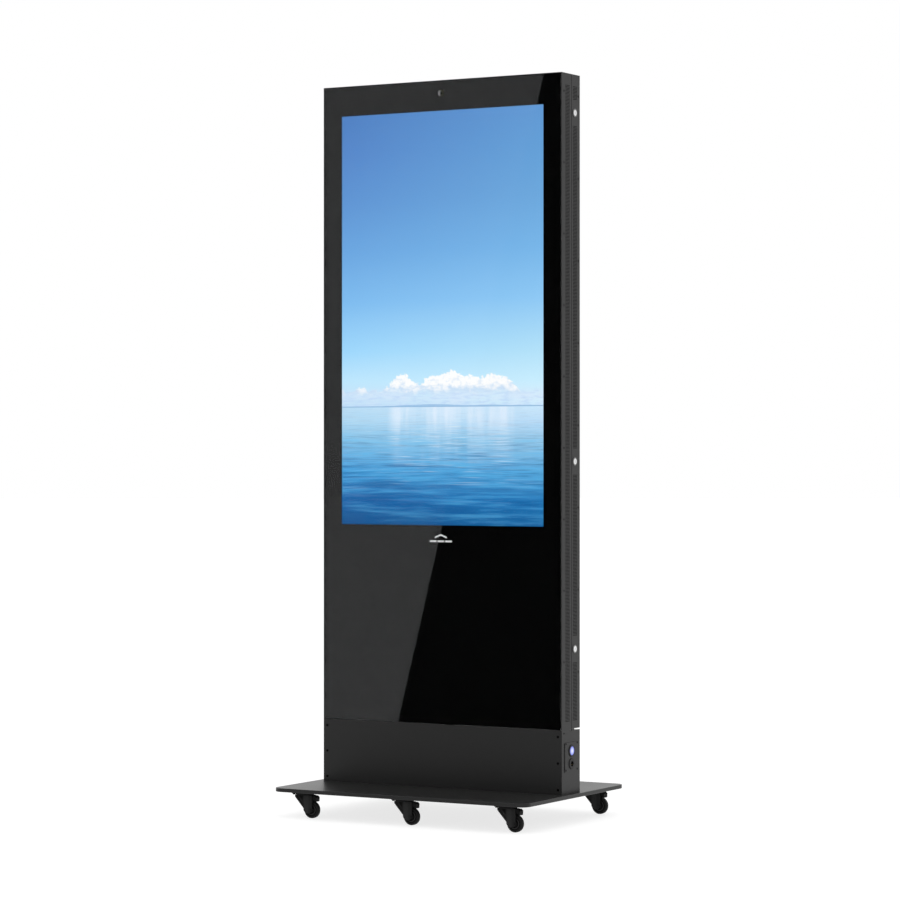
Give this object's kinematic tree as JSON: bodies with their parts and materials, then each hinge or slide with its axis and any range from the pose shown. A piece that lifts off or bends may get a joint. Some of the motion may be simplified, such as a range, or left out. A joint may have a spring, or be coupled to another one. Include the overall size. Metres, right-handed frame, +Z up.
{
  "type": "touchscreen kiosk",
  "caption": "Portrait touchscreen kiosk: glass-fronted slim cabinet with a lockable vented rear door and a plinth, on a heavy base plate with braked swivel castors.",
  "frame": {"origin": "on the floor, under the middle of the base plate", "axes": "+Z up, the glass faces -Y, +X is on the viewer's right"},
  "size_m": [0.844, 0.611, 2.15],
  "materials": {
    "cabinet_coat": "fine-texture semi-matt black powder coat",
    "base_coat": "fine-texture satin black powder coat on thick steel",
    "zinc_sheet": "zinc-plated folded sheet",
    "clear_glass": "clear tempered glass, polished edge",
    "black_print": "opaque black ceramic print on the back of the glass",
    "touch_film": "clear film",
    "display": "lit liquid-crystal display",
    "black_plastic": "moulded black plastic",
    "lens_metal": "turned ring round a dark lens",
    "black_anodised": "black anodised case",
    "bare_aluminium": "mill-finish case",
    "button_cap": "translucent cap, lit blue from behind",
    "contact_brass": "plated contact pins",
    "black_screw": "black oxide",
    "zinc_bolt": "zinc plated",
    "black_steel": "black coated steel",
    "castor_metal": "black coated pressed steel",
    "wheel_plastic": "hard black nylon",
    "lock_chrome": "polished nickel chrome"
  },
  "bodies": {
    "cabinet": {"base_plate": "base_coat", "side_panel_left": "cabinet_coat", "side_panel_right": "cabinet_coat", "top_panel": "cabinet_coat", "plinth_front_cover": "cabinet_coat", "plinth_rear_cover": "cabinet_coat", "plinth_shelf": "zinc_sheet", "frame_posts": "zinc_sheet", "frame_crossbars": "zinc_sheet", "glass_frame": "zinc_sheet", "front_glass": "clear_glass", "glass_border": "black_print", "touch_sensor": "touch_film", "lcd_panel": "display", "backlight_tray": "zinc_sheet", "camera_body": "black_plastic", "camera_lens": "lens_metal", "media_player": "black_anodised", "power_supply": "bare_aluminium", "access_plate": "cabinet_coat", "button_bezel": "black_plastic", "power_inlet": "black_plastic", "inlet_pins": "contact_brass", "plinth_cover_screws": "black_screw", "side_screws": "black_screw", "foot_bolts": "zinc_bolt", "castor_bolts": "zinc_bolt", "castor_plates": "castor_metal", "housing_hinges": "black_steel", "lock_keepers": "zinc_sheet"},
    "rear_door": {"door_frame": "cabinet_coat", "door_back_panel": "cabinet_coat", "door_hinges": "black_steel", "lock_bodies": "lock_chrome", "door_screws": "black_screw"},
    "power_button": {"power_button": "button_cap"},
    "lock_lower": {"lock_plug_lower": "lock_chrome", "lock_cam_lower": "zinc_sheet"},
    "lock_middle": {"lock_plug_middle": "lock_chrome", "lock_cam_middle": "zinc_sheet"},
    "lock_upper": {"lock_plug_upper": "lock_chrome", "lock_cam_upper": "zinc_sheet"},
    "castor_fork_front_left": {"castor_fork_front_left": "castor_metal"},
    "castor_wheel_front_left": {"castor_wheel_front_left": "wheel_plastic"},
    "brake_pedal_front_left": {"brake_pedal_front_left": "black_plastic"},
    "castor_fork_front_middle": {"castor_fork_front_middle": "castor_metal"},
    "castor_wheel_front_middle": {"castor_wheel_front_middle": "wheel_plastic"},
    "brake_pedal_front_middle": {"brake_pedal_front_middle": "black_plastic"},
    "castor_fork_front_right": {"castor_fork_front_right": "castor_metal"},
    "castor_wheel_front_right": {"castor_wheel_front_right": "wheel_plastic"},
    "brake_pedal_front_right": {"brake_pedal_front_right": "black_plastic"},
    "castor_fork_rear_left": {"castor_fork_rear_left": "castor_metal"},
    "castor_wheel_rear_left": {"castor_wheel_rear_left": "wheel_plastic"},
    "brake_pedal_rear_left": {"brake_pedal_rear_left": "black_plastic"},
    "castor_fork_rear_middle": {"castor_fork_rear_middle": "castor_metal"},
    "castor_wheel_rear_middle": {"castor_wheel_rear_middle": "wheel_plastic"},
    "brake_pedal_rear_middle": {"brake_pedal_rear_middle": "black_plastic"},
    "castor_fork_rear_right": {"castor_fork_rear_right": "castor_metal"},
    "castor_wheel_rear_right": {"castor_wheel_rear_right": "wheel_plastic"},
    "brake_pedal_rear_right": {"brake_pedal_rear_right": "black_plastic"}
  },
  "joints": [
    {"name": "rear_door_swing", "type": "hinge", "parent": "cabinet", "child": "rear_door", "pos_m": [-0.406, 0.0025, 1.211], "axis": [0, 0, 1], "range_deg": [0, 110]},
    {"name": "power_button_press", "type": "slide", "parent": "cabinet", "child": "power_button", "axis": [-1, 0, 0], "range_m": [0, 0.003], "stiffness_N_per_m": 800, "springref_m": -0.001},
    {"name": "lock_lower_turn", "type": "hinge", "parent": "rear_door", "child": "lock_lower", "pos_m": [0.39, 0.0234, 0.5], "axis": [1, 0, 0], "range_deg": [0, 90]},
    {"name": "lock_middle_turn", "type": "hinge", "parent": "rear_door", "child": "lock_middle", "pos_m": [0.39, 0.0234, 1.0386], "axis": [1, 0, 0], "range_deg": [0, 90]},
    {"name": "lock_upper_turn", "type": "hinge", "parent": "rear_door", "child": "lock_upper", "pos_m": [0.39, 0.0234, 2.0401], "axis": [1, 0, 0], "range_deg": [0, 90]},
    {"name": "castor_swivel_front_left", "type": "hinge", "parent": "cabinet", "child": "castor_fork_front_left", "pos_m": [-0.338, -0.257, 0.07], "axis": [0, 0, 1], "continuous": true},
    {"name": "castor_roll_front_left", "type": "hinge", "parent": "castor_fork_front_left", "child": "castor_wheel_front_left", "pos_m": [-0.313, -0.257, 0.025], "axis": [0, 1, 0], "continuous": true},
    {"name": "brake_front_left_press", "type": "hinge", "parent": "castor_fork_front_left", "child": "brake_pedal_front_left", "pos_m": [-0.314, -0.257, 0.057], "axis": [0, 1, 0], "range_deg": [0, 10]},
    {"name": "castor_swivel_front_middle", "type": "hinge", "parent": "cabinet", "child": "castor_fork_front_middle", "pos_m": [0, -0.257, 0.07], "axis": [0, 0, 1], "continuous": true},
    {"name": "castor_roll_front_middle", "type": "hinge", "parent": "castor_fork_front_middle", "child": "castor_wheel_front_middle", "pos_m": [0.025, -0.257, 0.025], "axis": [0, 1, 0], "continuous": true},
    {"name": "brake_front_middle_press", "type": "hinge", "parent": "castor_fork_front_middle", "child": "brake_pedal_front_middle", "pos_m": [0.024, -0.257, 0.057], "axis": [0, 1, 0], "range_deg": [0, 10]},
    {"name": "castor_swivel_front_right", "type": "hinge", "parent": "cabinet", "child": "castor_fork_front_right", "pos_m": [0.338, -0.257, 0.07], "axis": [0, 0, 1], "continuous": true},
    {"name": "castor_roll_front_right", "type": "hinge", "parent": "castor_fork_front_right", "child": "castor_wheel_front_right", "pos_m": [0.363, -0.257, 0.025], "axis": [0, 1, 0], "continuous": true},
    {"name": "brake_front_right_press", "type": "hinge", "parent": "castor_fork_front_right", "child": "brake_pedal_front_right", "pos_m": [0.362, -0.257, 0.057], "axis": [0, 1, 0], "range_deg": [0, 10]},
    {"name": "castor_swivel_rear_left", "type": "hinge", "parent": "cabinet", "child": "castor_fork_rear_left", "pos_m": [-0.338, 0.257, 0.07], "axis": [0, 0, 1], "continuous": true},
    {"name": "castor_roll_rear_left", "type": "hinge", "parent": "castor_fork_rear_left", "child": "castor_wheel_rear_left", "pos_m": [-0.313, 0.257, 0.025], "axis": [0, 1, 0], "continuous": true},
    {"name": "brake_rear_left_press", "type": "hinge", "parent": "castor_fork_rear_left", "child": "brake_pedal_rear_left", "pos_m": [-0.314, 0.257, 0.057], "axis": [0, 1, 0], "range_deg": [0, 10]},
    {"name": "castor_swivel_rear_middle", "type": "hinge", "parent": "cabinet", "child": "castor_fork_rear_middle", "pos_m": [0, 0.257, 0.07], "axis": [0, 0, 1], "continuous": true},
    {"name": "castor_roll_rear_middle", "type": "hinge", "parent": "castor_fork_rear_middle", "child": "castor_wheel_rear_middle", "pos_m": [0.025, 0.257, 0.025], "axis": [0, 1, 0], "continuous": true},
    {"name": "brake_rear_middle_press", "type": "hinge", "parent": "castor_fork_rear_middle", "child": "brake_pedal_rear_middle", "pos_m": [0.024, 0.257, 0.057], "axis": [0, 1, 0], "range_deg": [0, 10]},
    {"name": "castor_swivel_rear_right", "type": "hinge", "parent": "cabinet", "child": "castor_fork_rear_right", "pos_m": [0.338, 0.257, 0.07], "axis": [0, 0, 1], "continuous": true},
    {"name": "castor_roll_rear_right", "type": "hinge", "parent": "castor_fork_rear_right", "child": "castor_wheel_rear_right", "pos_m": [0.363, 0.257, 0.025], "axis": [0, 1, 0], "continuous": true},
    {"name": "brake_rear_right_press", "type": "hinge", "parent": "castor_fork_rear_right", "child": "brake_pedal_rear_right", "pos_m": [0.362, 0.257, 0.057], "axis": [0, 1, 0], "range_deg": [0, 10]}
  ]
}
